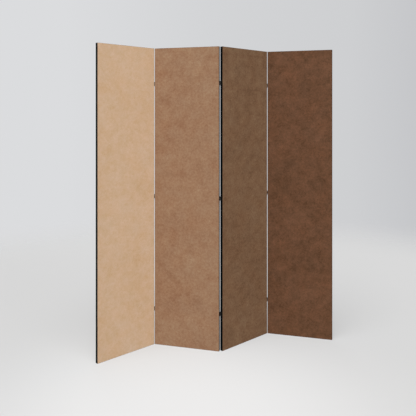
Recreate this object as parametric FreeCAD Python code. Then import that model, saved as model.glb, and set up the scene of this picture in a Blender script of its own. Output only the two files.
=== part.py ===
import FreeCAD, Part
import math
import os

# A free-standing folding screen of four canvas panels, hinged edge to edge and standing in a zigzag.
# Each panel is a mitred pine frame with a cross rail, a canvas on each face and black tape round its edges.
# +Z is up, X runs along the screen, and the front faces -Y. The origin is on the floor, at the middle
# of the screen as it stands. All lengths are in millimetres and all angles in degrees.

# Panels
panel_count = 4
panel_width = 400.0
panel_height = 1780.0
panel_thickness = 18.0
fold_angle = 60.0  # turn of each fold away from flat, as the screen stands

# Cloth on the panels
canvas_thickness = 0.6
tape_thickness = 0.6

# Frame bars, bevelled towards the opening so that the canvas bears on the outer rim only
bar_width = 38.0
bar_rim = 10.0
bar_bevel = 1.5

# Corner joints: a blind tongue on each end of the rails, in a slot across the mitre of the stile
tongue_thickness = 5.5
tongue_margin = 6.0
joint_clearance = 0.1

# Cross rail, stub-tenoned into the stiles
cross_rail_width = 38.0
cross_rail_arris = 3.0
tenon_length = 12.0
tenon_shoulder = 6.0

# Hinges: rolled steel leaves let into the tape on the panel edges, three to a fold
hinge_height = 25.0
hinge_inset = 214.0  # from the panel's end to the middle of the outer hinges
leaf_thickness = 0.7
leaf_margin = 4.0  # from the leaf's free edge to the far face of the panel
leaf_fit = 0.2  # between the leaf and the tape round it
leaf_bend_angle = 30.0  # slant of the bend that brings the roll in from the plane of the leaf
roll_seam = 0.25  # slit between the roll's end and the bend of the leaf
knuckle_count = 3
knuckle_gap = 0.2
edge_clearance = 0.3  # between the roll and the edge of the facing panel
axis_proud = 0.5  # from the panel's face out to the hinge axis

# Hinge pins, a little longer than the knuckles that hold them
pin_diameter = 1.4
pin_clearance = 0.05
pin_overhang = 0.3

# Countersunk wood screws with a tapered shank, two to a leaf. They and their holes have a few flat sides.
screw_diameter = 2.0
screw_length = 10.0
screw_spacing = 14.0
screw_clearance = 0.05
screw_sides = 8

# Cutting tools reach this far past what they cut
cut_overrun = 1.0

# Sizes worked out from the ones above
bar_thickness = panel_thickness - 2 * canvas_thickness
frame_width = panel_width - 2 * tape_thickness
frame_height = panel_height - 2 * tape_thickness
bore_radius = pin_diameter / 2 + pin_clearance
roll_radius = bore_radius + leaf_thickness
edge_offset = roll_radius + edge_clearance
leaf_outer = edge_offset + tape_thickness
leaf_inner = leaf_outer - leaf_thickness
leaf_reach = axis_proud + panel_thickness - leaf_margin
leaf_start = max(axis_proud, math.sqrt(max(0, edge_offset ** 2 - leaf_inner ** 2)))
knuckle_length = (hinge_height - (knuckle_count - 1) * knuckle_gap) / knuckle_count
screw_depth = (leaf_start + leaf_reach) / 2
screw_head_radius = screw_diameter / 2 + leaf_thickness
hinge_heights = {
    "bottom": hinge_inset,
    "middle": panel_height / 2,
    "top": panel_height - hinge_inset,
}

x_axis = FreeCAD.Vector(1, 0, 0)
y_axis = FreeCAD.Vector(0, 1, 0)
z_axis = FreeCAD.Vector(0, 0, 1)
origin = FreeCAD.Vector(0, 0, 0)


# Plain helpers

def vec(x, y, z):
    return FreeCAD.Vector(x, y, z)


def block(low, high):
    """A box between two corners."""
    size = high - low
    return Part.makeBox(size.x, size.y, size.z, low)


def prism(points, direction):
    """A closed outline pushed along a direction."""
    outline = Part.makePolygon(points + [points[0]])
    return Part.Face(outline).extrude(direction)


def many_sided(profile):
    """A screw or its hole, of flat-sided section, from (along, radius) stations on the X axis."""
    rings = []
    for along, radius in profile:
        turns = [math.radians(360 * side / screw_sides) for side in range(screw_sides)]
        rings.append([vec(along, radius * math.cos(turn), radius * math.sin(turn)) for turn in turns])
    pointed = profile[-1][1] == 0
    ends = [rings[0]] if pointed else [rings[0], rings[-1]]
    faces = [Part.Face(Part.makePolygon(ring + [ring[0]])) for ring in ends]
    for station, (ring, following) in enumerate(zip(rings, rings[1:])):
        to_point = pointed and station == len(rings) - 2
        for side in range(screw_sides):
            after = (side + 1) % screw_sides
            corners = [ring[side], ring[after], following[after]]
            if not to_point:
                corners.append(following[side])
            faces.append(Part.Face(Part.makePolygon(corners + [corners[0]])))
    solid = Part.makeSolid(Part.makeShell(faces))
    if solid.Volume < 0:
        solid.reverse()
    return solid


def placed(shape, place):
    """A copy of a shape, moved as a whole."""
    return shape.transformed(place.toMatrix(), True)


# Frame of one panel, in the panel's own place: X from its left edge, Y from its front face, Z from the floor

def mitred_bar(length):
    """A bar lying along X with its outer edge down: bevelled on both faces, mitred at both ends."""
    section = prism(
        [
            vec(0, 0, 0),
            vec(0, bar_thickness, 0),
            vec(0, bar_thickness, bar_rim),
            vec(0, bar_thickness - bar_bevel, bar_width),
            vec(0, bar_bevel, bar_width),
            vec(0, 0, bar_rim),
        ],
        x_axis * length,
    )
    outline = prism(
        [
            vec(0, 0, 0),
            vec(length, 0, 0),
            vec(length - bar_width, 0, bar_width),
            vec(bar_width, 0, bar_width),
        ],
        y_axis * bar_thickness,
    )
    return section.common(outline)


def corner_plates(at_left, clearance):
    """The two tongues on one side of the frame, grown by a clearance to make their slots."""
    start = tongue_margin - clearance
    end = bar_width - tongue_margin + clearance
    half = tongue_thickness / 2 + clearance
    middle = panel_thickness / 2
    left = tape_thickness + start if at_left else panel_width - tape_thickness - end
    right = left + end - start
    plates = []
    for bottom in (tape_thickness + start, panel_height - tape_thickness - end):
        top = bottom + end - start
        plates.append(block(vec(left, middle - half, bottom), vec(right, middle + half, top)))
    return plates


def cross_tenon(at_left, clearance):
    """One stub tenon of the cross rail, grown by a clearance to make its mortise."""
    shoulder = tape_thickness + bar_width
    near = shoulder - tenon_length - clearance
    half_height = cross_rail_width / 2 - tenon_shoulder + clearance
    half = tongue_thickness / 2 + clearance
    left = near if at_left else panel_width - shoulder
    right = shoulder if at_left else panel_width - near
    low = vec(left, panel_thickness / 2 - half, panel_height / 2 - half_height)
    high = vec(right, panel_thickness / 2 + half, panel_height / 2 + half_height)
    return block(low, high)


def stile(at_left, drillings):
    """An upright of the frame, slotted for the rails and drilled for the hinge screws."""
    bar = mitred_bar(frame_height)
    if at_left:
        place = FreeCAD.Placement(
            vec(tape_thickness, canvas_thickness, panel_height - tape_thickness),
            FreeCAD.Rotation(y_axis, 90),
        )
    else:
        place = FreeCAD.Placement(
            vec(panel_width - tape_thickness, canvas_thickness, tape_thickness),
            FreeCAD.Rotation(y_axis, -90),
        )
    bar = placed(bar, place)
    for plate in corner_plates(at_left, joint_clearance):
        bar = bar.cut(plate)
    bar = bar.cut(cross_tenon(at_left, joint_clearance))
    for drilling in drillings:
        bar = bar.cut(drilling)
    return bar


def end_rail(at_top):
    """The top or bottom rail, with its two blind tongues."""
    bar = mitred_bar(frame_width)
    if at_top:
        place = FreeCAD.Placement(
            vec(panel_width - tape_thickness, canvas_thickness, panel_height - tape_thickness),
            FreeCAD.Rotation(y_axis, 180),
        )
    else:
        place = FreeCAD.Placement(
            vec(tape_thickness, canvas_thickness, tape_thickness),
            FreeCAD.Rotation(),
        )
    bar = placed(bar, place)
    row = 1 if at_top else 0
    for at_left in (True, False):
        bar = bar.fuse(corner_plates(at_left, 0)[row])
    return bar.removeSplitter()


def cross_rail():
    """The middle rail, as thin as the bevelled inner edge of the stiles and clear of both canvases."""
    inset = tape_thickness + bar_width
    front = canvas_thickness + bar_bevel
    low = vec(inset, front, panel_height / 2 - cross_rail_width / 2)
    high = vec(panel_width - inset, panel_thickness - front, panel_height / 2 + cross_rail_width / 2)
    rail = block(low, high)
    long_edges = [edge for edge in rail.Edges if math.isclose(edge.Length, high.x - low.x)]
    rail = rail.makeChamfer(cross_rail_arris, long_edges)
    for at_left in (True, False):
        rail = rail.fuse(cross_tenon(at_left, 0))
    return rail.removeSplitter()


# Cloth of one panel

def canvas(at_front):
    """The cloth on one face, cut flush with the frame."""
    front = 0 if at_front else panel_thickness - canvas_thickness
    low = vec(tape_thickness, front, tape_thickness)
    high = vec(panel_width - tape_thickness, front + canvas_thickness, panel_height - tape_thickness)
    return block(low, high)


def edge_tape(notches):
    """Four strips round the panel's edges, over the frame and the edges of both canvases."""
    side_strips = []
    for left in (0, panel_width - tape_thickness):
        strip = block(vec(left, 0, 0), vec(left + tape_thickness, panel_thickness, panel_height))
        for notch in notches:
            strip = strip.cut(notch)
        side_strips.append(strip)
    end_strips = []
    for bottom in (0, panel_height - tape_thickness):
        low = vec(tape_thickness, 0, bottom)
        high = vec(panel_width - tape_thickness, panel_thickness, bottom + tape_thickness)
        end_strips.append(block(low, high))
    return Part.makeCompound(side_strips + end_strips)


# Hinge, in its own place: the pin's axis along Z, the leaf on the edge of a panel that lies towards -X,
# and Y running from that panel's face into its thickness

def leaf_flat():
    """The flat of a leaf, lying on the stile."""
    half = hinge_height / 2
    return block(vec(-leaf_outer, leaf_start, -half), vec(-leaf_inner, leaf_reach, half))


def polar(radius, angle):
    """A point round the hinge axis."""
    return vec(radius * math.cos(math.radians(angle)), radius * math.sin(math.radians(angle)), 0)


def knuckle(index):
    """One knuckle: the leaf bent in from its flat and rolled round the pin, with an open seam."""
    bend_start = 180 + leaf_bend_angle
    seam_angle = math.degrees(math.acos((bore_radius - roll_seam) / roll_radius))
    roll_end = bend_start + 360 - seam_angle
    roll_middle = (bend_start + roll_end) / 2
    slant = math.tan(math.radians(leaf_bend_angle))
    outer_start = polar(roll_radius, bend_start)
    inner_start = polar(bore_radius, bend_start)
    outer_bend = outer_start.y + (leaf_outer + outer_start.x) / slant
    inner_bend = inner_start.y + (leaf_inner + inner_start.x) / slant
    root = max(outer_bend, inner_bend, leaf_start) + leaf_thickness
    edges = [
        Part.makeLine(vec(-leaf_outer, root, 0), vec(-leaf_outer, outer_bend, 0)),
        Part.makeLine(vec(-leaf_outer, outer_bend, 0), outer_start),
        Part.Arc(outer_start, polar(roll_radius, roll_middle), polar(roll_radius, roll_end)).toShape(),
        Part.makeLine(polar(roll_radius, roll_end), polar(bore_radius, roll_end)),
        Part.Arc(polar(bore_radius, roll_end), polar(bore_radius, roll_middle), inner_start).toShape(),
        Part.makeLine(inner_start, vec(-leaf_inner, inner_bend, 0)),
        Part.makeLine(vec(-leaf_inner, inner_bend, 0), vec(-leaf_inner, root, 0)),
        Part.makeLine(vec(-leaf_inner, root, 0), vec(-leaf_outer, root, 0)),
    ]
    face = Part.Face(Part.Wire(edges))
    bottom = index * (knuckle_length + knuckle_gap) - hinge_height / 2
    face.translate(vec(0, 0, bottom))
    return face.extrude(z_axis * knuckle_length)


def screw_places():
    """Places of the two screw heads on a leaf, with each screw pointing along -X into the stile."""
    places = []
    for height in (-screw_spacing / 2, screw_spacing / 2):
        base = vec(-leaf_inner, screw_depth, height)
        places.append(FreeCAD.Placement(base, FreeCAD.Rotation(z_axis, 180)))
    return places


def countersink():
    """The sunk hole that one screw head fills, reaching past both faces of the leaf."""
    mouth = screw_head_radius + screw_clearance
    reach = leaf_thickness + screw_clearance
    return many_sided([(-screw_clearance, mouth + screw_clearance), (reach, mouth - reach)])


def leaf(is_left):
    """A whole leaf. The left one has the outer knuckles and the right one those between them."""
    shape = leaf_flat()
    for index in range(knuckle_count):
        if (index % 2 == 0) == is_left:
            shape = shape.fuse(knuckle(index))
    for place in screw_places():
        shape = shape.cut(placed(countersink(), place))
    return shape.removeSplitter()


def hinge_pin():
    """The pin through one hinge's knuckles."""
    length = hinge_height + 2 * pin_overhang
    return Part.makeCylinder(pin_diameter / 2, length, vec(0, 0, -length / 2), z_axis)


def screw():
    """A countersunk wood screw lying along X, with the top of its head at the origin."""
    return many_sided([(0, screw_head_radius), (leaf_thickness, screw_diameter / 2), (screw_length, 0)])


def pilot_drilling():
    """Tapered pilot hole in the stile for one screw."""
    return many_sided([
        (leaf_thickness, screw_diameter / 2 + screw_clearance),
        (screw_length + screw_clearance, screw_clearance),
    ])


def tape_notch():
    """Notch in the tape for one leaf, open at the face that the hinge stands on."""
    half = hinge_height / 2 + leaf_fit
    low = vec(-leaf_outer - cut_overrun, -cut_overrun, -half)
    high = vec(0, leaf_reach + leaf_fit, half)
    return block(low, high)


# Places of the hinges on a panel and of the panels on the floor

def fold_is_front(fold):
    """The first fold closes the front faces together, the next one the backs, and so on."""
    return fold % 2 == 0


def axis_point(at_left, fold):
    """Where a fold's axis stands beside one edge of a panel."""
    across = -edge_offset if at_left else panel_width + edge_offset
    depth = -axis_proud if fold_is_front(fold) else panel_thickness + axis_proud
    return vec(across, depth, 0)


def hinge_place(at_left, fold, height):
    """Sets a hinge on one edge of a panel, turned for that edge and for the face that the fold closes."""
    turn = FreeCAD.Rotation()
    if at_left:
        turn = FreeCAD.Rotation(y_axis, 180)
    if not fold_is_front(fold):
        turn = FreeCAD.Rotation(x_axis, 180).multiply(turn)
    return FreeCAD.Placement(axis_point(at_left, fold) + vec(0, 0, height), turn)


def edge_hinge_places(at_left, fold):
    """Places of all the hinges along one edge of a panel."""
    return [hinge_place(at_left, fold, height) for height in hinge_heights.values()]


def edge_screw_places(hinges):
    """Places of all the screws in a row of hinges."""
    return [hinge.multiply(place) for hinge in hinges for place in screw_places()]


def panel_places():
    """Stands the panels in their zigzag, each hung on the axis that it shares with the one before."""
    places = []
    for number in range(panel_count):
        lean = fold_angle / 2 if number % 2 == 0 else -fold_angle / 2
        turn = FreeCAD.Rotation(z_axis, lean)
        base = origin
        if places:
            fold = number - 1
            axis = places[-1].multVec(axis_point(False, fold))
            base = axis - turn.multVec(axis_point(True, fold))
        places.append(FreeCAD.Placement(base, turn))
    corners = [
        place.multVec(vec(across, depth, 0))
        for place in places
        for across in (0, panel_width)
        for depth in (0, panel_thickness)
    ]
    middle_x = (min(corner.x for corner in corners) + max(corner.x for corner in corners)) / 2
    middle_y = (min(corner.y for corner in corners) + max(corner.y for corner in corners)) / 2
    for place in places:
        place.Base = place.Base - vec(middle_x, middle_y, 0)
    return places


# The whole screen

def panel_nodes(number, place):
    """The frame, canvases, tape and screws of one panel, each in its place on the floor."""
    name = f"panel_{number + 1}"
    left_hinges = edge_hinge_places(True, number - 1) if number > 0 else []
    right_hinges = edge_hinge_places(False, number) if number < panel_count - 1 else []
    left_screws = edge_screw_places(left_hinges)
    right_screws = edge_screw_places(right_hinges)
    nodes = {
        f"{name}_stile_left": stile(True, [placed(pilot_drilling(), spot) for spot in left_screws]),
        f"{name}_stile_right": stile(False, [placed(pilot_drilling(), spot) for spot in right_screws]),
        f"{name}_top_rail": end_rail(True),
        f"{name}_cross_rail": cross_rail(),
        f"{name}_bottom_rail": end_rail(False),
        f"{name}_front_canvas": canvas(True),
        f"{name}_back_canvas": canvas(False),
        f"{name}_edge_tape": edge_tape([placed(tape_notch(), spot) for spot in left_hinges + right_hinges]),
    }
    if left_screws:
        nodes[f"{name}_screws_left"] = Part.makeCompound([placed(screw(), spot) for spot in left_screws])
    if right_screws:
        nodes[f"{name}_screws_right"] = Part.makeCompound([placed(screw(), spot) for spot in right_screws])
    return {node: placed(shape, place) for node, shape in nodes.items()}


def fold_nodes(fold, places):
    """The hinge leaves and pins of one fold. The pins stay with the panel on the left."""
    nodes = {}
    pins = []
    for level, height in hinge_heights.items():
        left_place = places[fold].multiply(hinge_place(False, fold, height))
        right_place = places[fold + 1].multiply(hinge_place(True, fold, height))
        nodes[f"fold_{fold + 1}_{level}_leaf_left"] = placed(leaf(True), left_place)
        nodes[f"fold_{fold + 1}_{level}_leaf_right"] = placed(leaf(False), right_place)
        pins.append(placed(hinge_pin(), left_place))
    nodes[f"fold_{fold + 1}_pins"] = Part.makeCompound(pins)
    return nodes


def build():
    """Builds every piece, writes one file for each and prints the places of the hinge axes and bases."""
    places = panel_places()
    nodes = {}
    for number, place in enumerate(places):
        nodes.update(panel_nodes(number, place))
        base = place.multVec(vec(panel_width / 2, panel_thickness / 2, 0))
        print(f"panel {number + 1} base at x {base.x:.6f} y {base.y:.6f}")
    for fold in range(panel_count - 1):
        nodes.update(fold_nodes(fold, places))
        axis = places[fold].multVec(axis_point(False, fold))
        print(f"fold {fold + 1} axis at x {axis.x:.6f} y {axis.y:.6f}")
    for node, shape in nodes.items():
        shape.exportStep(f"parts/{node}.step")
    print(f"{len(nodes)} pieces, {sum(len(shape.Solids) for shape in nodes.values())} solids")


build()
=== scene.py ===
"""A four-panel folding screen: printed canvases, black edge tape and small black hinges, in a pale studio.

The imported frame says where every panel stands, and this script dresses it. Lengths are in metres and
angles in radians, unless a name says otherwise. A panel's own space has U across its width from the
left edge, V from its front face to its back and Z from the floor.
"""

import logging
import random
from collections.abc import Callable, Iterable, Iterator
from contextlib import contextmanager
from dataclasses import dataclass
from enum import Enum
from math import cos, pi, radians, sin

import bmesh
import bpy
from mathutils import Color, Matrix, Vector

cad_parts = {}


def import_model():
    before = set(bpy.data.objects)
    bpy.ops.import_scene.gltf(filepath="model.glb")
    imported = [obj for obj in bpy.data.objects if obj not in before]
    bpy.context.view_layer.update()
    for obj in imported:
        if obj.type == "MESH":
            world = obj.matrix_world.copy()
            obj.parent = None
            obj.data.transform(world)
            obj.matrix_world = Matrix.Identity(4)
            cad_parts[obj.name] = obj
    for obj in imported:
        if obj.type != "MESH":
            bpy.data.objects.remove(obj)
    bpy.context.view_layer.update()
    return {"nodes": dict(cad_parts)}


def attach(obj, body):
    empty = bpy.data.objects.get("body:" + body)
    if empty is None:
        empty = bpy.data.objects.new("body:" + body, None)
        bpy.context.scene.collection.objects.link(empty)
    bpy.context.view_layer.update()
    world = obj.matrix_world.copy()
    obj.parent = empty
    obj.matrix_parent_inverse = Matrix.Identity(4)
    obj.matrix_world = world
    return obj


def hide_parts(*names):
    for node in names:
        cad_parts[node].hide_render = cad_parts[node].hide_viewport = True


LOG = logging.getLogger("screen")
MM = 0.001
HALF_FOLD = radians(30.0)
SHALLOW = radians(30.0)
SHARP = radians(50.0)
FACING = 0.9
LEVELS = ("bottom", "middle", "top")
CLOTH_MAP = "cut"
UNMOVED = Vector((0, 0, 0))
UNSCALED = Vector((1, 1, 1))

# Far spots of the endless noise, so that no layer repeats another.
MOTTLE_SPOT = Vector((0.3, 2.3, 0.1))
DRIFT_SPOT = Vector((3.1, 0.7, 1.9))
FIBRE_SPOT = Vector((1, 0, 0))

Pair = tuple[float, float]
Triple = tuple[float, float, float]
Piece = bpy.types.Object
Material = bpy.types.Material
Socket = bpy.types.NodeSocket


class Face(Enum):
    """A face of a panel."""

    FRONT = "front"
    BACK = "back"


class Edge(Enum):
    """An edge of a panel, as seen from the front."""

    LEFT = "left"
    RIGHT = "right"
    TOP = "top"
    BOTTOM = "bottom"


SIDES = (Edge.LEFT, Edge.RIGHT)


class Grain(Enum):
    """The way that the wood's fibres run in a bar."""

    UPRIGHT = "upright"
    ACROSS = "across"


def linear(red: float, green: float, blue: float) -> tuple[float, ...]:
    """Turns a display colour, in levels from 0 to 255, into the opaque linear one that shaders take."""
    shown = Color(level / 255 for level in (red, green, blue))
    return (*shown.from_srgb_to_scene_linear(), 1.0)


# Modelling


def select_only(piece: Piece) -> None:
    """Selects one object and makes it the active one.

    Args:
        piece: The object.
    """
    bpy.ops.object.select_all(action="DESELECT")
    piece.select_set(True)
    bpy.context.view_layer.objects.active = piece


@contextmanager
def editing(piece: Piece) -> Iterator[None]:
    """Opens a piece in edit mode with all its faces selected, and closes it again.

    Args:
        piece: The mesh object.

    Yields:
        Nothing.
    """
    select_only(piece)
    bpy.ops.object.mode_set(mode="EDIT")
    bpy.ops.mesh.select_mode(type="FACE")
    bpy.ops.mesh.select_all(action="SELECT")
    yield
    bpy.ops.object.mode_set(mode="OBJECT")


def pick(piece: Piece, test: Callable[[bmesh.types.BMFace], bool]) -> None:
    """Selects the faces that pass a test, and no others.

    Args:
        piece: The mesh object, in edit mode.
        test: Says whether a face is wanted.
    """
    mesh = bmesh.from_edit_mesh(piece.data)
    for face in mesh.faces:
        face.select_set(test(face))
    mesh.select_flush_mode()
    bmesh.update_edit_mesh(piece.data)


def modify(piece: Piece, kind: str, **settings: object) -> None:
    """Adds a modifier to a piece and applies it.

    Args:
        piece: The mesh object.
        kind: The modifier's type.
        settings: Properties set on the modifier.
    """
    select_only(piece)
    modifier = piece.modifiers.new(kind.title(), kind)
    for name, value in settings.items():
        setattr(modifier, name, value)
    bpy.ops.object.modifier_apply(modifier=modifier.name)


def faces_up(face: bmesh.types.BMFace) -> bool:
    """Says whether a face looks up."""
    return face.normal.z > FACING


def round_edges(piece: Piece, width: float) -> None:
    """Rounds a piece's sharp edges by a width."""
    modify(piece, "BEVEL", width=width, segments=2, limit_method="ANGLE", angle_limit=SHARP)


def settle(piece: Piece, name: str, matrix: Matrix, angle: float = SHALLOW) -> None:
    """Names a piece, moves its mesh to its place in the row frame and smooths its shallow edges.

    Its flat faces keep their own shading, and only the rounds between them blend.

    Args:
        piece: The mesh object, at the origin.
        name: The piece's name.
        matrix: From the space it was modelled in to the row frame.
        angle: Edges sharper than this stay sharp.
    """
    piece.name = piece.data.name = name
    piece.data.transform(matrix)
    select_only(piece)
    bpy.ops.object.shade_smooth_by_angle(angle=angle)
    modify(piece, "WEIGHTED_NORMAL", keep_sharp=True)


def joined(pieces: list[Piece]) -> Piece:
    """Joins several meshes into the first one.

    Args:
        pieces: The mesh objects.

    Returns:
        The one that holds them all.
    """
    select_only(pieces[0])
    for piece in pieces[1:]:
        piece.select_set(True)
    bpy.ops.object.join()
    return pieces[0]


def apply_transform(piece: Piece) -> None:
    """Moves an object's place, turn and scale into its mesh."""
    select_only(piece)
    bpy.ops.object.transform_apply(location=True, rotation=True, scale=True)


def copied(piece: Piece) -> Piece:
    """Copies a piece.

    Args:
        piece: The mesh object.

    Returns:
        The copy, which has its own mesh.
    """
    copy = piece.copy()
    copy.data = piece.data.copy()
    bpy.context.collection.objects.link(copy)
    return copy


def flat_grid(size: Pair, cell: float, middle: Triple, turn: Triple = (0.0, 0.0, 0.0)) -> Piece:
    """Adds a flat grid, the start of a cloth or a tape.

    Args:
        size: Its width and length.
        cell: About how large its cells are.
        middle: Where its middle is.
        turn: How it is turned.

    Returns:
        The grid, with its place in its mesh.
    """
    across, along = (round(side / cell) for side in size)
    cells = {"x_subdivisions": across, "y_subdivisions": along}
    bpy.ops.mesh.primitive_grid_add(size=1.0, location=middle, rotation=turn, **cells)
    grid = bpy.context.object
    grid.scale = (*size, 1.0)
    apply_transform(grid)
    return grid


def lay_map(piece: Piece, flat: Callable[[Vector], Pair]) -> None:
    """Gives a cloth the map of its flat cut, in metres.

    Args:
        piece: The mesh object.
        flat: Where a spot of the mesh lies on the cut.
    """
    for layer in list(piece.data.uv_layers):
        piece.data.uv_layers.remove(layer)
    layer = piece.data.uv_layers.new(name=CLOTH_MAP)
    for loop in piece.data.loops:
        layer.data[loop.index].uv = flat(piece.data.vertices[loop.vertex_index].co)


def repaint(node: Piece, material: Material) -> None:
    """Gives a CAD node one material.

    Args:
        node: The CAD node.
        material: The material.
    """
    if not node.material_slots:
        node.data.materials.append(material)
    for slot in node.material_slots:
        slot.material = material


def hand_over(piece: Piece, material: Material, node: str, body: str) -> None:
    """Finishes a piece and puts it in its CAD node's place.

    Args:
        piece: The piece.
        material: Its material.
        node: The CAD node that it stands for.
        body: The body that it rides on.
    """
    piece.data.materials.clear()
    piece.data.materials.append(material)
    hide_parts(node)
    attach(piece, body)


# Finishes


class Bench:
    """Lays out and joins the nodes of a material or of the world."""

    def __init__(self, owner: Material | bpy.types.World, output: str) -> None:
        """Clears the nodes and starts with the output.

        Args:
            owner: What the nodes belong to.
            output: The output node's type.
        """
        owner.use_nodes = True
        self.tree = owner.node_tree
        self.tree.nodes.clear()
        self.output = self.node(output)

    def node(self, kind: str, **settings: object) -> bpy.types.Node:
        """Adds a node.

        Args:
            kind: The node's type.
            settings: Properties set on the node.

        Returns:
            The new node.
        """
        made = self.tree.nodes.new(kind)
        for name, value in settings.items():
            setattr(made, name, value)
        return made

    def feed(self, socket: Socket, value: object) -> None:
        """Links an output to a socket, or sets the socket's constant.

        Args:
            socket: The input.
            value: An output socket, or a constant.
        """
        if isinstance(value, Socket):
            self.tree.links.new(value, socket)
        else:
            socket.default_value = value

    def fill(self, made: bpy.types.Node, **inputs: object) -> bpy.types.Node:
        """Feeds a node.

        Args:
            made: The node.
            inputs: An output or a constant for each input, with _ for a space in its name.

        Returns:
            The node.
        """
        for name, value in inputs.items():
            self.feed(made.inputs[name.replace("_", " ")], value)
        return made

    def computed(self, kind: str, values: Iterable[object], output: int | str, **settings: object) -> Socket:
        """Adds a node and feeds its first inputs.

        Args:
            kind: The node's type.
            values: An output or a constant for each input, in order.
            output: Which of its outputs is wanted.
            settings: Properties set on the node.

        Returns:
            The output.
        """
        made = self.node(kind, **settings)
        for socket, value in zip(made.inputs, values):
            self.feed(socket, value)
        return made.outputs[output]

    def maths(self, operation: str, *values: object, clamp: bool = False) -> Socket:
        """Works out one value from others."""
        return self.computed("ShaderNodeMath", values, 0, operation=operation, use_clamp=clamp)

    def vectors(self, operation: str, *values: object, output: str = "Vector") -> Socket:
        """Works out a vector from others, or a number where the output is "Value"."""
        return self.computed("ShaderNodeVectorMath", values, output, operation=operation)

    def total(self, start: float, terms: Iterable[tuple[float, Socket]]) -> Socket:
        """Adds weighted values to a start.

        Args:
            start: The value with nothing added.
            terms: A weight and a value for each term.

        Returns:
            The sum.
        """
        result: object = start
        for weight, value in terms:
            result = self.maths("MULTIPLY_ADD", value, weight, result)
        return result

    def mapped(
        self, vector: Socket, move: Vector = UNMOVED, turn: float = 0.0, scale: Vector = UNSCALED
    ) -> Socket:
        """Moves a pattern, turns it about Z and makes it finer along each axis by a scale."""
        return self.computed("ShaderNodeMapping", (vector, move, (0.0, 0.0, turn), scale), "Vector")

    def noise(self, vector: Socket, size: float, detail: float = 2.0, roughness: float = 0.5) -> Socket:
        """Reads noise that swings about zero, with blots of a size and some finer layers of detail."""
        inputs = {"Vector": vector, "Scale": 1 / size, "Detail": detail, "Roughness": roughness}
        return self.maths("SUBTRACT", self.fill(self.node("ShaderNodeTexNoise"), **inputs).outputs[0], 0.5)

    def fade(self, value: Socket, start: float, end: float, smooth: str = "SMOOTHSTEP") -> Socket:
        """Falls softly from 1 at the start of a value's range to 0 at its end."""
        levels = (value, start, end, 1.0, 0.0)
        return self.computed("ShaderNodeMapRange", levels, "Result", interpolation_type=smooth)

    def warped(self, vector: Socket, bend: Socket, reach: float) -> Socket:
        """Bends a pattern's coordinates along X and Y, by up to a reach times a noise."""
        return self.vectors("MULTIPLY_ADD", bend, Vector((reach, reach, 0.0)), vector)

    def pebbles(self, vector: Socket, size: float, width: float) -> Socket:
        """Reads the lines between the pebbles of a hide, which are a share of a pebble wide."""
        cells = self.node("ShaderNodeTexVoronoi", feature="DISTANCE_TO_EDGE")
        return self.fade(self.fill(cells, Vector=vector, Scale=1 / size).outputs["Distance"], 0.0, width)

    def veins(self, vector: Socket, size: float, width: float) -> Socket:
        """Reads the creases that wander over a hide, a size apart and a share of that wide."""
        swing = self.noise(vector, size, detail=3.0, roughness=0.6)
        return self.fade(self.maths("ABSOLUTE", swing), 0.0, width)

    def slubs(self, vector: Socket, width: float, run: float) -> Socket:
        """Reads the uneven thickness of the threads both ways.

        Args:
            vector: Where it is read, on the cloth's map.
            width: How wide a thick or thin stretch is.
            run: How many times longer it is.

        Returns:
            How far a spot's two threads are from the usual, about zero.
        """
        runs = (Vector((1 / run, 1.0, 1.0)), Vector((1.0, 1 / run, 1.0)))
        threads = (self.mapped(vector, Vector((0, 0, spot)), scale=scale) for spot, scale in enumerate(runs))
        weft, warp = (self.noise(thread, width, detail=1.0) for thread in threads)
        return self.maths("ADD", weft, warp)

    def shown(self) -> Socket:
        """Tells the rays that show a background as it is seen: to the camera, in a gloss and through glass.

        Returns:
            1 on those rays, 0 on the others.
        """
        path = self.node("ShaderNodeLightPath")
        total = path.outputs["Is Camera Ray"]
        for name in ("Is Glossy Ray", "Is Transmission Ray"):
            total = self.maths("ADD", total, path.outputs[name], clamp=True)
        return total

    def mixed(self, share: Socket, first: Socket, second: Socket) -> Socket:
        """Mixes two shaders, with a share of the second."""
        return self.computed("ShaderNodeMixShader", (share, first, second), 0)

    def weave(self, vector: Socket, pitch: float) -> Socket:
        """Reads the height of a plain weave.

        Args:
            vector: Where it is read, on the cloth's map.
            pitch: From thread to thread, both ways.

        Returns:
            The height, from 0 to 1.
        """
        split = self.fill(self.node("ShaderNodeSeparateXYZ"), Vector=vector)
        turns = (self.maths("MULTIPLY", split.outputs[axis], pi / pitch) for axis in (0, 1))
        across, along = (self.maths("SINE", turn) for turn in turns)
        return self.maths("ABSOLUTE", self.maths("MULTIPLY", across, along))

    def blend(self, share: object, first: object, second: object) -> Socket:
        """Mixes two colours.

        Args:
            share: How much of the second, from 0 to 1.
            first: The first colour.
            second: The second colour.

        Returns:
            The mixed colour.
        """
        made = self.node("ShaderNodeMix", data_type="RGBA", clamp_factor=True)
        inputs = (socket for socket in made.inputs if socket.enabled)
        for socket, value in zip(inputs, (share, first, second)):
            self.feed(socket, value)
        return next(socket for socket in made.outputs if socket.enabled)

    def bump(self, height: Socket, distance: float, strength: float = 1.0) -> Socket:
        """Tilts the surface by a height, of which 1 stands for a distance."""
        inputs = {"Height": height, "Distance": distance, "Strength": strength}
        return self.fill(self.node("ShaderNodeBump"), **inputs).outputs["Normal"]


class Coat(Bench):
    """The nodes of one material, laid out round a Principled shader."""

    def __init__(self, name: str) -> None:
        """Starts a material.

        Args:
            name: The material's name.
        """
        self.material = bpy.data.materials.new(name)
        super().__init__(self.material, "ShaderNodeOutputMaterial")
        self.shader = self.node("ShaderNodeBsdfPrincipled")
        self.feed(self.output.inputs["Surface"], self.shader.outputs["BSDF"])

    def dress(self, **inputs: object) -> Material:
        """Feeds the shader, with _ for a space in a socket's name, and hands over the material."""
        self.fill(self.shader, **inputs)
        return self.material


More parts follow.
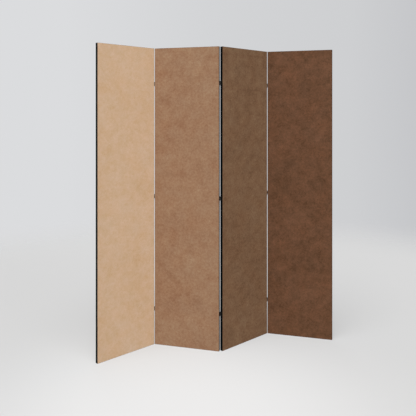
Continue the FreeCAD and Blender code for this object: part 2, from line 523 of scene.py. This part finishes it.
@dataclass(frozen=True)
class SuedePrint:
    """Artist's canvas printed all over like suede leather, in one tone of brown.

    The print drifts in faint clouds, blots and a fine mottle, with the veins and pebbles of a hide over
    them, and its brown is here and there a little warmer or cooler.
    """

    shade: str
    tone: Triple
    swing_shares: Triple
    contrast: float
    warmth: float
    middle: float = 0.47
    swing: float = 18.0
    cloud: float = 0.56
    cloud_size: float = 0.20
    blot: float = 0.67
    blot_size: float = 0.050
    mottle: float = 1.10
    mottle_size: float = 0.013
    nap: float = 1.00
    nap_size: float = 1.5 * MM
    vein: float = 0.15
    vein_size: float = 0.060
    vein_width: float = 0.025
    pebble: float = 0.22
    pebble_size: float = 3.0 * MM
    pebble_width: float = 0.22
    slub: float = 0.30
    slub_threads: float = 1.3
    slub_run: float = 26.0
    weave: float = 0.25
    thread_pitch: float = 0.85 * MM
    thread_height: float = 0.10 * MM

    @property
    def slot(self) -> str:
        """The name for the cloth's slot."""
        return f"{self.shade}_canvas"

    def ink(self, swing: float) -> tuple[float, ...]:
        """The tone, with each level raised by its share of a swing."""
        return linear(*(level + swing * share for level, share in zip(self.tone, self.swing_shares)))

    def material(self, seed: float) -> Material:
        """Makes the cloth's material.

        Args:
            seed: Takes another part of the endless print for this panel.

        Returns:
            The material.
        """
        bench = Coat(f"{self.shade}_print")
        cut = bench.node("ShaderNodeUVMap", uv_map=CLOTH_MAP).outputs["UV"]
        at = bench.mapped(cut, Vector((seed, -seed, seed)))
        clouds = bench.noise(at, self.cloud_size)
        blots = bench.noise(at, self.blot_size)
        mottle = bench.noise(bench.mapped(at, MOTTLE_SPOT), self.mottle_size, detail=3.0, roughness=0.6)
        nap_at = bench.warped(at, mottle, self.mottle_size)
        nap = bench.noise(nap_at, self.nap_size, detail=3.0, roughness=0.6)
        veins = bench.veins(bench.warped(at, blots, self.blot_size), self.vein_size, self.vein_width)
        pebbles_at = bench.warped(at, mottle, 2 * self.pebble_size)
        pebbles = bench.pebbles(pebbles_at, self.pebble_size, self.pebble_width)
        weave = bench.weave(cut, self.thread_pitch)
        slubs = bench.slubs(cut, self.slub_threads * self.thread_pitch, self.slub_run)
        hide = (
            (self.cloud, clouds), (self.blot, blots), (self.mottle, mottle), (self.nap, nap),
            (-self.vein, veins), (-self.pebble, pebbles),
        )
        layers = [(self.contrast * weight, layer) for weight, layer in hide]
        share = bench.total(self.middle, (*layers, (self.slub, slubs), (self.weave, weave)))
        inks = bench.blend(share, self.ink(-self.swing), self.ink(self.swing))
        drift = bench.noise(bench.mapped(at, DRIFT_SPOT), self.cloud_size / 2, detail=4.0)
        warmer = Vector((self.warmth, 0.0, -self.warmth))
        tint = bench.vectors("MULTIPLY_ADD", drift, warmer, UNSCALED)
        return bench.dress(
            Base_Color=bench.vectors("MULTIPLY", inks, tint),
            Roughness=bench.total(0.78, ((0.25, mottle), (0.15, nap))),
            Specular_IOR_Level=0.15,
            Sheen_Weight=0.02,
            Sheen_Roughness=0.5,
            Normal=bench.bump(bench.total(0.0, ((1.0, weave), (0.6, slubs))), self.thread_height, 0.6),
        )


@dataclass(frozen=True)
class EdgeTape:
    """Black woven tape, matt, a little dusty and with the weave's ribs across it."""

    name: str = "black_tape"
    slot: str = "black_tape"
    black: Triple = (4, 5, 6)
    worn: Triple = (24, 26, 29)
    dust_size: float = 30 * MM
    fibre_size: float = 1.2 * MM
    fibre_stretch: float = 4.0
    thread_pitch: float = 0.55 * MM
    thread_height: float = 0.08 * MM

    def material(self) -> Material:
        """Makes the tape's material.

        Returns:
            The material.
        """
        bench = Coat(self.name)
        cut = bench.node("ShaderNodeUVMap", uv_map=CLOTH_MAP).outputs["UV"]
        weave = bench.weave(cut, self.thread_pitch)
        dust = bench.noise(cut, self.dust_size, detail=4.0, roughness=0.6)
        stretch = Vector((1.0, 1 / self.fibre_stretch, 1.0))
        fibres = bench.noise(bench.mapped(cut, FIBRE_SPOT, scale=stretch), self.fibre_size)
        wear = bench.total(0.02, ((0.9, dust), (0.6, fibres), (0.35, weave)))
        return bench.dress(
            Base_Color=bench.blend(wear, linear(*self.black), linear(*self.worn)),
            Roughness=bench.total(0.80, ((0.2, dust), (0.2, fibres))),
            Specular_IOR_Level=0.06,
            Sheen_Weight=0.01,
            Sheen_Roughness=0.4,
            Normal=bench.bump(bench.total(0.0, ((1.0, weave), (0.5, fibres))), self.thread_height),
        )


@dataclass(frozen=True)
class PaintedSteel:
    """Steel under a thin coat of paint, with a fine orange peel and rubbed spots."""

    name: str
    paint: Triple
    rubbed: Triple
    roughness: float
    peel_size: float = 0.9 * MM
    rub_size: float = 2.6 * MM
    rub_level: float = 0.10
    rub_contrast: float = 4.0
    scratch_turn: float = 0.4
    scratch_stretch: float = 9.0
    metallic: float = 0.0
    specular: float = 0.35
    lacquer: float = 0.10

    def material(self) -> Material:
        """Makes the steel's material.

        Returns:
            The material.
        """
        bench = Coat(self.name)
        spot = bench.node("ShaderNodeTexCoord").outputs["Object"]
        peel = bench.noise(spot, self.peel_size)
        rub = bench.noise(spot, self.rub_size, detail=5.0, roughness=0.7)
        stretch = Vector((1.0, 1.0, self.scratch_stretch))
        scratch_at = bench.mapped(spot, turn=self.scratch_turn, scale=stretch)
        scratch = bench.noise(scratch_at, self.rub_size, detail=3.0)
        wear = bench.total(-self.rub_level, ((1.0, rub), (0.5, scratch)))
        share = bench.maths("MULTIPLY", wear, self.rub_contrast)
        return bench.dress(
            Base_Color=bench.blend(share, linear(*self.paint), linear(*self.rubbed)),
            Metallic=self.metallic,
            Roughness=bench.total(self.roughness, ((0.35, rub), (0.2, peel))),
            Specular_IOR_Level=self.specular,
            Coat_Weight=self.lacquer,
            Coat_Roughness=0.35,
            Normal=bench.bump(peel, 0.05 * MM, 0.5),
        )


@dataclass(frozen=True)
class Pine:
    """Planed pine, with long fibres and pale and dark years."""

    name: str
    grain: Grain
    lean: float = 0.0
    early: Triple = (222, 190, 142)
    late: Triple = (186, 140, 88)
    bands: float = 6.0
    ring_size: float = 6 * MM
    fibre_size: float = 0.8 * MM
    length: float = 0.05

    def material(self) -> Material:
        """Makes the wood's material.

        Returns:
            The material.
        """
        bench = Coat(self.name)
        spot = bench.node("ShaderNodeTexCoord").outputs["Object"]
        along = Vector((1, 1, self.length)) if self.grain is Grain.UPRIGHT else Vector((self.length, 1, 1))
        fibres_at = bench.mapped(spot, turn=-self.lean, scale=along)
        rings = bench.noise(fibres_at, self.ring_size)
        fibres = bench.noise(fibres_at, self.fibre_size, detail=3.0, roughness=0.6)
        banding = bench.maths("PINGPONG", bench.maths("MULTIPLY", rings, self.bands), 1.0)
        share = bench.total(0.0, ((0.8, banding), (0.6, fibres)))
        return bench.dress(
            Base_Color=bench.blend(share, linear(*self.early), linear(*self.late)),
            Roughness=bench.total(0.62, ((0.3, fibres),)),
            Specular_IOR_Level=0.35,
            Normal=bench.bump(fibres, 0.2 * MM, 0.5),
        )


# The screen


@dataclass(frozen=True)
class Place:
    """Where a panel stands: its lean about Z, its front left foot corner and its outer size."""

    lean: float
    corner: Vector
    size: Vector

    @staticmethod
    def reach(node: Piece, lean: float) -> tuple[Vector, ...]:
        """Measures a CAD node along a panel's own axes.

        Args:
            node: The CAD node.
            lean: The panel's lean.

        Returns:
            Its lowest and highest corner, about the row frame's origin.
        """
        back = Matrix.Rotation(-lean, 3, "Z")
        turned = [back @ vertex.co for vertex in node.data.vertices]
        return tuple(Vector(map(extreme, zip(*turned))) for extreme in (min, max))

    @classmethod
    def of(cls, node: Piece, lean: float) -> "Place":
        """Reads a panel's place from its lean and the CAD node that wraps it."""
        low, high = cls.reach(node, lean)
        return cls(lean, Matrix.Rotation(lean, 3, "Z") @ low, high - low)

    def matrix(self) -> Matrix:
        """From the panel's own space to the row frame."""
        return Matrix.Translation(self.corner) @ Matrix.Rotation(self.lean, 4, "Z")

    def box(self, node: Piece) -> tuple[Vector, ...]:
        """A CAD node's lowest and highest corner in the panel's own space."""
        start = Matrix.Rotation(-self.lean, 3, "Z") @ self.corner
        return tuple(corner - start for corner in self.reach(node, self.lean))


@dataclass(frozen=True)
class Canvas:
    """One cloth, pulled over the outer rim of the bars, a little slack between them."""

    place: Place
    face: Face
    node: Piece
    rim: float = 10 * MM
    rim_fold: float = 1.0 * MM
    sag: float = 0.35 * MM
    slopes_across: float = 3.0
    cell: float = 12 * MM
    pull: float = 0.10 * MM
    pull_spacing: float = 68 * MM
    pull_reach: float = 22 * MM
    edge_round: float = 0.18 * MM

    def slack(self, across: float, up: float, low: Vector, high: Vector) -> float:
        """How far the cloth dips behind its flat plane at one spot.

        Args:
            across: The spot's U.
            up: The spot's Z.
            low: The cloth's lowest corner.
            high: The cloth's highest corner.

        Returns:
            The dip, which is nothing on the rim.
        """
        from_side = min(across - low.x, high.x - across) - self.rim
        from_end = min(up - low.z, high.z - up) - self.rim
        inward = min(from_side, from_end)
        if inward <= 0:
            return 0.0
        slope = (high.x - low.x) / self.slopes_across
        side, end = (min(1.0, distance / slope) for distance in (from_side, from_end))
        bowl = self.sag * sin(side * pi / 2) * sin(end * pi / 2)
        along = up if from_side < from_end else across
        wave = 0.5 + 0.5 * cos(2 * pi * along / self.pull_spacing)
        return bowl + self.pull * wave * sin(pi * min(1.0, inward / (2 * self.pull_reach)))

    def build(self, name: str) -> Piece:
        """Models the cloth.

        Args:
            name: The piece's name.

        Returns:
            The piece, in its place.
        """
        low, high = self.place.box(self.node)
        size = high - low
        outward = -1 if self.face is Face.FRONT else 1
        middle = ((low.x + high.x) / 2, low.y if outward < 0 else high.y, (low.z + high.z) / 2)
        turn = (pi / 2, 0.0, 0.0 if outward < 0 else pi)
        cloth = flat_grid((size.x, size.z), self.cell, middle, turn)
        with editing(cloth):
            bpy.ops.mesh.inset(thickness=self.rim_fold, use_boundary=True, use_even_offset=True)
        for vertex in cloth.data.vertices:
            vertex.co.y -= outward * self.slack(vertex.co.x, vertex.co.z, low, high)
        modify(cloth, "SOLIDIFY", thickness=size.y, offset=-1.0, use_even_offset=True)
        round_edges(cloth, self.edge_round)
        lay_map(cloth, lambda spot: (spot.x * -outward, spot.z))
        settle(cloth, name, self.place.matrix())
        return cloth


@dataclass(frozen=True)
class Notch:
    """A cut in a strip of tape round a hinge leaf: its reach across and along the strip."""

    across: Pair
    along: Pair

    def area(self, width: float) -> float:
        """How much it takes from a strip of some width. It may reach past the strip's edge."""
        across = min(width, self.across[1]) - max(0.0, self.across[0])
        return across * (self.along[1] - self.along[0])

    def holds(self, face: bmesh.types.BMFace) -> bool:
        """Says whether a face of the strip lies in the notch."""
        spot = face.calc_center_median()
        return self.across[0] < spot.x < self.across[1] and self.along[0] < spot.y < self.along[1]

    def cut(self, tape: Piece) -> None:
        """Cuts the notch out of a flat strip.

        Args:
            tape: The strip.
        """
        lines = [(Vector((x, 0, 0)), Vector((1, 0, 0))) for x in self.across]
        lines += [(Vector((0, y, 0)), Vector((0, 1, 0))) for y in self.along]
        with editing(tape):
            for point, normal in lines:
                bpy.ops.mesh.select_all(action="SELECT")
                bpy.ops.mesh.bisect(plane_co=point, plane_no=normal)
            pick(tape, self.holds)
            bpy.ops.mesh.delete(type="FACE")


@dataclass(frozen=True)
class Strip:
    """One strip of tape along an edge of a panel."""

    place: Place
    edge: Edge
    thickness: float
    notches: tuple[Notch, ...] = ()
    edge_round: float = 0.15 * MM
    cell: float = 30 * MM

    def length(self) -> float:
        """How long the strip is cut. The end strips lie between the side strips."""
        size = self.place.size
        return size.z if self.edge in SIDES else size.x - 2 * self.thickness

    def area(self) -> float:
        """The strip's flat area without its notches."""
        width = self.place.size.y
        return width * self.length() - sum(notch.area(width) for notch in self.notches)

    def matrix(self) -> Matrix:
        """Places the flat strip, whose outer side is up, in the panel's own space.

        Returns:
            The matrix that does.
        """
        size = self.place.size
        frames = {
            Edge.LEFT: ((0.0, 0.0, size.z), (0, 0, -1), (-1, 0, 0)),
            Edge.RIGHT: ((size.x, 0.0, 0.0), (0, 0, 1), (1, 0, 0)),
            Edge.TOP: ((size.x - self.thickness, 0.0, size.z), (-1, 0, 0), (0, 0, 1)),
            Edge.BOTTOM: ((self.thickness, 0.0, 0.0), (1, 0, 0), (0, 0, -1)),
        }
        start, along, out = frames[self.edge]
        turn = Matrix(((0, 1, 0), along, out)).transposed().to_4x4()
        return Matrix.Translation(start) @ turn

    def build(self, name: str) -> Piece:
        """Models the strip flat, cuts its notches and wraps it on its edge.

        Args:
            name: The piece's name.

        Returns:
            The piece, in its place.
        """
        width, length = self.place.size.y, self.length()
        tape = flat_grid((width, length), self.cell, (width / 2, length / 2, 0.0))
        for notch in self.notches:
            notch.cut(tape)
        modify(tape, "SOLIDIFY", thickness=self.thickness, offset=-1.0)
        round_edges(tape, self.edge_round)
        lay_map(tape, lambda spot: (spot.x, spot.y))
        settle(tape, name, self.place.matrix() @ self.matrix())
        return tape


@dataclass(frozen=True)
class Screw:
    """A countersunk wood screw with a cross recess.

    It points along +Z, with the top of its head at the origin.
    """

    head_radius: float
    head_depth: float
    radius: float
    length: float
    sides: int = 20
    shank_share: float = 0.75
    shank_narrowing: float = 0.72
    point_narrowing: float = 0.08
    recess_reach_share: float = 0.62
    recess_width_share: float = 0.17
    recess_narrowing: float = 0.35
    recess_depth: float = 0.9 * MM
    thread_pitch: float = 0.8 * MM
    thread_height: float = 0.22 * MM
    thread_root_share: float = 0.9
    thread_foot_share: float = 0.3
    thread_taper: float = 0.3
    thread_steps: int = 12

    def model(self) -> Piece:
        """Models the screw once, for copies to be made of it.

        Returns:
            The screw, at the origin.
        """
        bpy.ops.mesh.primitive_cone_add(
            vertices=self.sides,
            radius1=self.head_radius,
            radius2=self.radius,
            depth=self.head_depth,
            location=(0.0, 0.0, self.head_depth / 2),
        )
        screw = bpy.context.object
        apply_transform(screw)
        shank = self.length - self.head_depth
        stretches = ((self.shank_share, self.shank_narrowing), (1 - self.shank_share, self.point_narrowing))
        with editing(screw):
            pick(screw, faces_up)
            for share, narrowing in stretches:
                bpy.ops.mesh.extrude_region_move(TRANSFORM_OT_translate={"value": (0.0, 0.0, shank * share)})
                bpy.ops.transform.resize(value=(narrowing, narrowing, 1.0))
        self.cut_recess(screw)
        return joined([screw, self.thread()])

    def cut_recess(self, screw: Piece) -> None:
        """Sinks the cross into the head with two tapered blades.

        Args:
            screw: The screw's body.
        """
        narrowing = self.recess_narrowing
        for turn in (0.0, pi / 2):
            bpy.ops.mesh.primitive_cube_add(size=1.0, rotation=(0.0, 0.0, turn))
            blade = bpy.context.object
            blade.scale = (
                2 * self.head_radius * self.recess_reach_share,
                2 * self.head_radius * self.recess_width_share,
                2 * self.recess_depth,
            )
            apply_transform(blade)
            with editing(blade):
                pick(blade, faces_up)
                bpy.ops.transform.resize(value=(narrowing, narrowing, 1.0))
            modify(screw, "BOOLEAN", operation="DIFFERENCE", solver="EXACT", object=blade)
            bpy.data.objects.remove(blade)

    def thread(self) -> Piece:
        """Winds the thread, a ridge that thins towards the point.

        Returns:
            The ridge.
        """
        shank = self.length - self.head_depth
        turns = int(shank * self.shank_share / self.thread_pitch)
        foot = self.thread_pitch * self.thread_foot_share
        bpy.ops.mesh.primitive_circle_add(vertices=3, radius=self.radius, fill_type="NOTHING")
        ridge = bpy.context.object
        root = self.radius * self.thread_root_share
        profile = ((root, -foot), (self.radius + self.thread_height, 0.0), (root, foot))
        for vertex, (out, along) in zip(ridge.data.vertices, profile):
            vertex.co = (out, 0.0, self.head_depth + foot + along)
        steps = {"steps": self.thread_steps, "render_steps": self.thread_steps}
        modify(ridge, "SCREW", axis="Z", screw_offset=self.thread_pitch, iterations=turns, **steps)
        for vertex in ridge.data.vertices:
            narrowing = 1 - self.thread_taper * (vertex.co.z - self.head_depth) / shank
            vertex.co.x *= narrowing
            vertex.co.y *= narrowing
        with editing(ridge):
            bpy.ops.mesh.fill_holes(sides=len(profile))
            bpy.ops.mesh.select_all(action="SELECT")
            bpy.ops.mesh.normals_make_consistent(inside=False)
        return ridge


@dataclass
class Panel:
    """One panel of the screen: its bars, two cloths, tape and screws."""

    number: int
    nodes: dict[str, Piece]
    print_finish: SuedePrint
    tape: Material
    screw_steel: Material
    leaf_fit: float = 0.04 * MM
    print_step: float = 4.3
    screw_head_depth: float = 0.7 * MM
    screw_reach: float = 2.5

    def __post_init__(self) -> None:
        """Reads the panel's place from the frame."""
        self.name = f"panel_{self.number}"
        lean = HALF_FOLD if self.number % 2 else -HALF_FOLD
        self.place = Place.of(self.nodes[f"{self.name}_edge_tape"], lean)
        low, _ = self.place.box(self.nodes[f"{self.name}_front_canvas"])
        self.tape_thickness = low.x

    def build(self) -> None:
        """Builds and dresses the panel."""
        self.hang_canvases()
        self.wrap_tape()
        self.dress_bars()
        for edge in SIDES:
            node = self.nodes.get(f"{self.name}_screws_{edge.value}")
            if node:
                self.drive_screws(edge, node)

    def hang_canvases(self) -> None:
        """Stretches the two cloths."""
        material = self.print_finish.material(self.number * self.print_step)
        for face in Face:
            node = self.nodes[f"{self.name}_{face.value}_canvas"]
            cloth = Canvas(self.place, face, node).build(f"{self.name}_{face.value}_cloth")
            hand_over(cloth, material, node.name, self.name)
            low, high = self.place.box(node)
            LOG.info("%s: %d faces", cloth.name, len(cloth.data.polygons))

    def leaf_notches(self, edge: Edge) -> tuple[Notch, ...]:
        """Finds the notches that an edge's hinge leaves need, on the flat strip.

        Args:
            edge: A side edge.

        Returns:
            One notch for each leaf.
        """
        at_left = edge is Edge.LEFT
        fold = self.number - 1 if at_left else self.number
        leaf_side = Edge.RIGHT if at_left else Edge.LEFT
        leaves = (self.nodes.get(f"fold_{fold}_{level}_leaf_{leaf_side.value}") for level in LEVELS)
        size = self.place.size
        notches = []
        for leaf in filter(None, leaves):
            low, high = self.place.box(leaf)
            at_front = low.y < 0
            across = (-size.y, high.y + self.leaf_fit) if at_front else (low.y - self.leaf_fit, 2 * size.y)
            start, end = low.z - self.leaf_fit, high.z + self.leaf_fit
            notches.append(Notch(across, (size.z - end, size.z - start) if at_left else (start, end)))
        return tuple(notches)

    def wrap_tape(self) -> None:
        """Wraps the four strips of tape."""
        for edge in Edge:
            notches = self.leaf_notches(edge) if edge in SIDES else ()
            strip = Strip(self.place, edge, self.tape_thickness, notches)
            tape = strip.build(f"{self.name}_tape_{edge.value}")
            hand_over(tape, self.tape, f"{self.name}_edge_tape", self.name)
            flat = (self.place.size.y, strip.length())
            strip.area()
        LOG.info("%s: four strips of tape", self.name)

    def dress_bars(self) -> None:
        """Gives the bars their wood."""
        upright = Pine(f"{self.name}_pine_upright", Grain.UPRIGHT).material()
        across = Pine(f"{self.name}_pine_across", Grain.ACROSS, self.place.lean).material()
        for bar in ("stile_left", "stile_right"):
            repaint(self.nodes[f"{self.name}_{bar}"], upright)
        for bar in ("top_rail", "cross_rail", "bottom_rail"):
            repaint(self.nodes[f"{self.name}_{bar}"], across)

    def screw_heights(self, node: Piece, apart: float) -> list[float]:
        """Finds how high the screws of a CAD node are driven.

        Args:
            node: The CAD node of the screws.
            apart: Less than the distance between two screws.

        Returns:
            The height of each screw's axis.
        """
        local = self.place.matrix().inverted()
        groups: list[list[float]] = []
        for height in sorted((local @ vertex.co).z for vertex in node.data.vertices):
            if groups and height - groups[-1][0] <= apart:
                groups[-1].append(height)
            else:
                groups.append([height])
        return [(group[0] + group[-1]) / 2 for group in groups]

    def drive_screws(self, edge: Edge, node: Piece) -> None:
        """Sets the screws of one edge, each with its cross turned its own way.

        Args:
            edge: The edge.
            node: The CAD node of the screws.
        """
        low, high = self.place.box(node)
        radius, depth = (high.y - low.y) / 2, self.screw_head_depth
        top, side = (low.x, 1) if edge is Edge.LEFT else (high.x, -1)
        inward = Matrix.Rotation(side * pi / 2, 4, "Y")
        screw = Screw(radius, depth, radius - depth, high.x - low.x).model()
        draw = random.Random(node.name)
        copies = []
        for height in self.screw_heights(node, self.screw_reach * radius):
            spot = Vector((top, (low.y + high.y) / 2, height))
            turn = inward @ Matrix.Rotation(draw.uniform(0, pi), 4, "Z")
            copies.append(copied(screw))
            copies[-1].data.transform(Matrix.Translation(spot) @ turn)
        bpy.data.objects.remove(screw)
        group = joined(copies)
        settle(group, f"{self.name}_{edge.value}_wood_screws", self.place.matrix())
        hand_over(group, self.screw_steel, node.name, self.name)
        LOG.info("%s: %d screws", group.name, len(copies))


@dataclass
class Hinges:
    """The leaves and pins of one fold's three hinges."""

    fold: int
    nodes: dict[str, Piece]
    leaf_paint: Material
    pin_steel: Material
    merge_distance: float = 0.005 * MM
    flat_angle: float = radians(1)
    edge_round: float = 0.08 * MM

    def build(self) -> None:
        """Makes the fold's leaves, with their stamped edges rounded, and finishes its pins."""
        for level in LEVELS:
            for side, panel in (("left", self.fold), ("right", self.fold + 1)):
                node = self.nodes[f"fold_{self.fold}_{level}_leaf_{side}"]
                piece = self.rounded(node, f"fold_{self.fold}_{level}_{side}_leaf")
                hand_over(piece, self.leaf_paint, node.name, f"panel_{panel}")
        repaint(self.nodes[f"fold_{self.fold}_pins"], self.pin_steel)
        LOG.info("fold_%d: three hinges", self.fold)

    def rounded(self, node: Piece, name: str) -> Piece:
        """Copies a leaf and rounds its sharp edges.

        Args:
            node: The CAD node of the leaf.
            name: The piece's name.

        Returns:
            The piece.
        """
        piece = copied(node)
        with editing(piece):
            bpy.ops.mesh.remove_doubles(threshold=self.merge_distance)
            bpy.ops.mesh.dissolve_limited(angle_limit=self.flat_angle)
        round_edges(piece, self.edge_round)
        settle(piece, name, Matrix.Identity(4), SHARP)
        return piece


# The studio


@dataclass(frozen=True)
class Camera:
    """The photograph's camera: level, with its frame shifted down."""

    frame_px: float = 416.0
    focal_px: float = 573.3
    horizon_px: float = 116.75
    sensor_mm: float = 36.0
    yaw: float = radians(13.87)
    eye_height: float = 1.369
    right_of_corner: float = 0.6121
    before_corner: float = 3.1757

    def directions(self) -> tuple[Vector, Vector]:
        """Where the camera looks, and what is to its right."""
        ahead = Vector((sin(self.yaw), cos(self.yaw), 0.0))
        return ahead, Vector((ahead.y, -ahead.x, 0.0))

    def build(self, corner: Vector) -> None:
        """Sets the camera up.

        Args:
            corner: The front left foot corner of the screen, from which its place is measured.
        """
        ahead, right = self.directions()
        data = bpy.data.cameras.new("camera")
        camera = bpy.data.objects.new("camera", data)
        bpy.context.collection.objects.link(camera)
        data.sensor_width = self.sensor_mm
        data.lens = self.focal_px / self.frame_px * self.sensor_mm
        data.shift_y = (self.horizon_px - self.frame_px / 2) / self.frame_px
        spot = corner + right * self.right_of_corner - ahead * self.before_corner
        camera.location = (spot.x, spot.y, self.eye_height)
        camera.rotation_euler = (pi / 2, 0.0, -self.yaw)
        bpy.context.scene.camera = camera


@dataclass(frozen=True)
class SoftSun:
    """A broad, even light from far away, like a studio wall that glows."""

    name: str
    turn: float
    height: float
    strength: float
    breadth: float

    def build(self) -> None:
        """Sets the light. Its turn is counted from straight before the screen towards the right."""
        data = bpy.data.lights.new(self.name, "SUN")
        data.energy = self.strength * pi
        data.angle = self.breadth
        lamp = bpy.data.objects.new(self.name, data)
        bpy.context.collection.objects.link(lamp)
        level = cos(self.height)
        towards = Vector((sin(self.turn) * level, -cos(self.turn) * level, sin(self.height)))
        lamp.rotation_euler = towards.to_track_quat("Z", "Y").to_euler()


@dataclass(frozen=True)
class Studio:
    """A pale floor, a pale surround that darkens to the right, and soft lamps."""

    right: Vector
    floor_radius: float = 4.8
    floor_sides: int = 96
    floor_fade: Pair = (2.6, 4.6)
    # A pool of light painted on the floor before the screen: its middle and its reach.
    painted_light_spot: Pair = (-0.31, -0.76)
    painted_light_radius: float = 1.60
    floor_tone: Triple = (220, 220, 220)
    # The tone of the pool of light painted before the screen.
    painted_light_tone: Triple = (243, 243, 243)
    bounce: float = 0.21
    seen_bounce: float = 0.56
    glow: float = 0.43
    glow_strength: float = 1.12
    surround: tuple[tuple[float, Triple], ...] = (
        (-0.24, (219, 220, 222)),
        (0.00, (211, 212, 214)),
        (0.24, (206, 207, 209)),
        (0.36, (196, 197, 200)),
    )
    ambient: float = 0.46
    lamps: tuple[SoftSun, ...] = (
        SoftSun("high light", radians(-25), radians(65), 1.06, radians(46)),
        SoftSun("right light", radians(35), radians(12), 0.28, radians(24)),
        SoftSun("back light", radians(180), radians(12), 0.26, radians(24)),
    )

    def build(self) -> None:
        """Lays the floor and sets the surround and the lamps."""
        self.lay_floor()
        self.set_surround()
        for lamp in self.lamps:
            lamp.build()

    def lay_floor(self) -> None:
        """Lays the round floor, with a painted pool of light before the screen, and clear towards its rim.

        A part of its tone is shown as it is, so that the shadows on it stay soft.
        """
        rim = {"vertices": self.floor_sides, "radius": self.floor_radius}
        bpy.ops.mesh.primitive_circle_add(fill_type="NGON", **rim)
        floor = bpy.context.object
        floor.name = floor.data.name = "floor"
        bench = Coat("pale_floor")
        spot = bench.node("ShaderNodeTexCoord").outputs["Object"]
        to_painted_light, to_middle = (
            bench.vectors("DISTANCE", spot, (*centre, 0.0), output="Value")
            for centre in (self.painted_light_spot, (0.0, 0.0))
        )
        # The painted pool of light: the floor's tone turns lighter before the screen.
        painted_light_share = bench.fade(to_painted_light, 0.0, self.painted_light_radius, "SMOOTHERSTEP")
        tone = bench.blend(painted_light_share, linear(*self.floor_tone), linear(*self.painted_light_tone))
        shown = bench.shown()
        lightness = bench.total(self.bounce, ((self.seen_bounce - self.bounce, shown),))
        lit = bench.vectors("MULTIPLY", tone, lightness)
        bench.dress(Base_Color=lit, Roughness=0.9, Specular_IOR_Level=0.0)
        shine = bench.computed("ShaderNodeEmission", (tone, self.glow_strength), 0)
        glow = bench.maths("MULTIPLY", shown, self.glow)
        solid = bench.mixed(glow, bench.shader.outputs["BSDF"], shine)
        clear = bench.node("ShaderNodeBsdfTransparent").outputs[0]
        left = bench.fade(to_middle, *self.floor_fade)
        bench.feed(bench.output.inputs["Surface"], bench.mixed(left, clear, solid))
        floor.data.materials.append(bench.material)

    def set_surround(self) -> None:
        """Lights the scene evenly, and shows a pale grey surround."""
        world = bpy.data.worlds.new("surround")
        bpy.context.scene.world = world
        bench = Bench(world, "ShaderNodeOutputWorld")
        light = bench.computed("ShaderNodeBackground", ((1.0, 1.0, 1.0, 1.0), self.ambient), 0)
        ray = bench.node("ShaderNodeTexCoord").outputs["Generated"]
        sideways = bench.vectors("DOT_PRODUCT", ray, self.right, output="Value")
        first, last = self.surround[0][0], self.surround[-1][0]
        spread = bench.computed("ShaderNodeMapRange", (sideways, first, last), "Result")
        ramp = bench.node("ShaderNodeValToRGB")
        stops = ramp.color_ramp.elements
        for stop, (way, tone) in enumerate(self.surround):
            share = (way - first) / (last - first)
            element = stops[0] if stop == 0 else stops[-1] if way == last else stops.new(share)
            element.position = share
            element.color = linear(*tone)
        bench.feed(ramp.inputs["Fac"], spread)
        seen = bench.computed("ShaderNodeBackground", (ramp.outputs["Color"],), 0)
        bench.feed(bench.output.inputs["Surface"], bench.mixed(bench.shown(), light, seen))


PRINTS = (
    SuedePrint("sand", (204.5, 171.5, 138), (0.60, 0.93, 1.47), contrast=0.70, warmth=0.08, mottle=0.92),
    SuedePrint("clay", (156.5, 120.5, 92.5), (0.80, 1.12, 1.07), contrast=0.98, warmth=0.10),
    SuedePrint("umber", (116.5, 87, 62.5), (1.02, 1.05, 0.93), contrast=0.97, warmth=0.11),
    SuedePrint("cocoa", (103, 70.5, 48.5), (1.28, 0.90, 0.82), contrast=1.03, warmth=0.16, mottle=0.90),
)
SCREW_STEEL = PaintedSteel("screw_steel", (48, 49, 52), (104, 106, 110), 0.34, metallic=0.85)
PIN_STEEL = PaintedSteel("pin_steel", (60, 61, 64), (118, 120, 124), 0.32, metallic=0.85)
HINGE_PAINT = PaintedSteel("hinge_paint", (9, 10, 12), (36, 38, 41), 0.46, specular=0.22, lacquer=0.05)


def main() -> None:
    """Builds the studio and the screen."""
    logging.basicConfig(level=logging.INFO, format="%(name)s: %(message)s")
    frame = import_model()
    bpy.ops.object.select_all(action="DESELECT")
    bpy.context.scene.view_settings.view_transform = "Standard"
    nodes = frame["nodes"]
    tape, screw_steel = EdgeTape().material(), SCREW_STEEL.material()
    panels = [Panel(number, nodes, finish, tape, screw_steel) for number, finish in enumerate(PRINTS, 1)]
    for panel in panels:
        panel.build()
    leaf_paint, pin_steel = HINGE_PAINT.material(), PIN_STEEL.material()
    for fold in range(1, len(panels)):
        Hinges(fold, nodes, leaf_paint, pin_steel).build()
    camera = Camera()
    camera.build(panels[0].place.corner)
    Studio(camera.directions()[1]).build()
    LOG.info("sizes written")


if __name__ == "__main__":
    main()
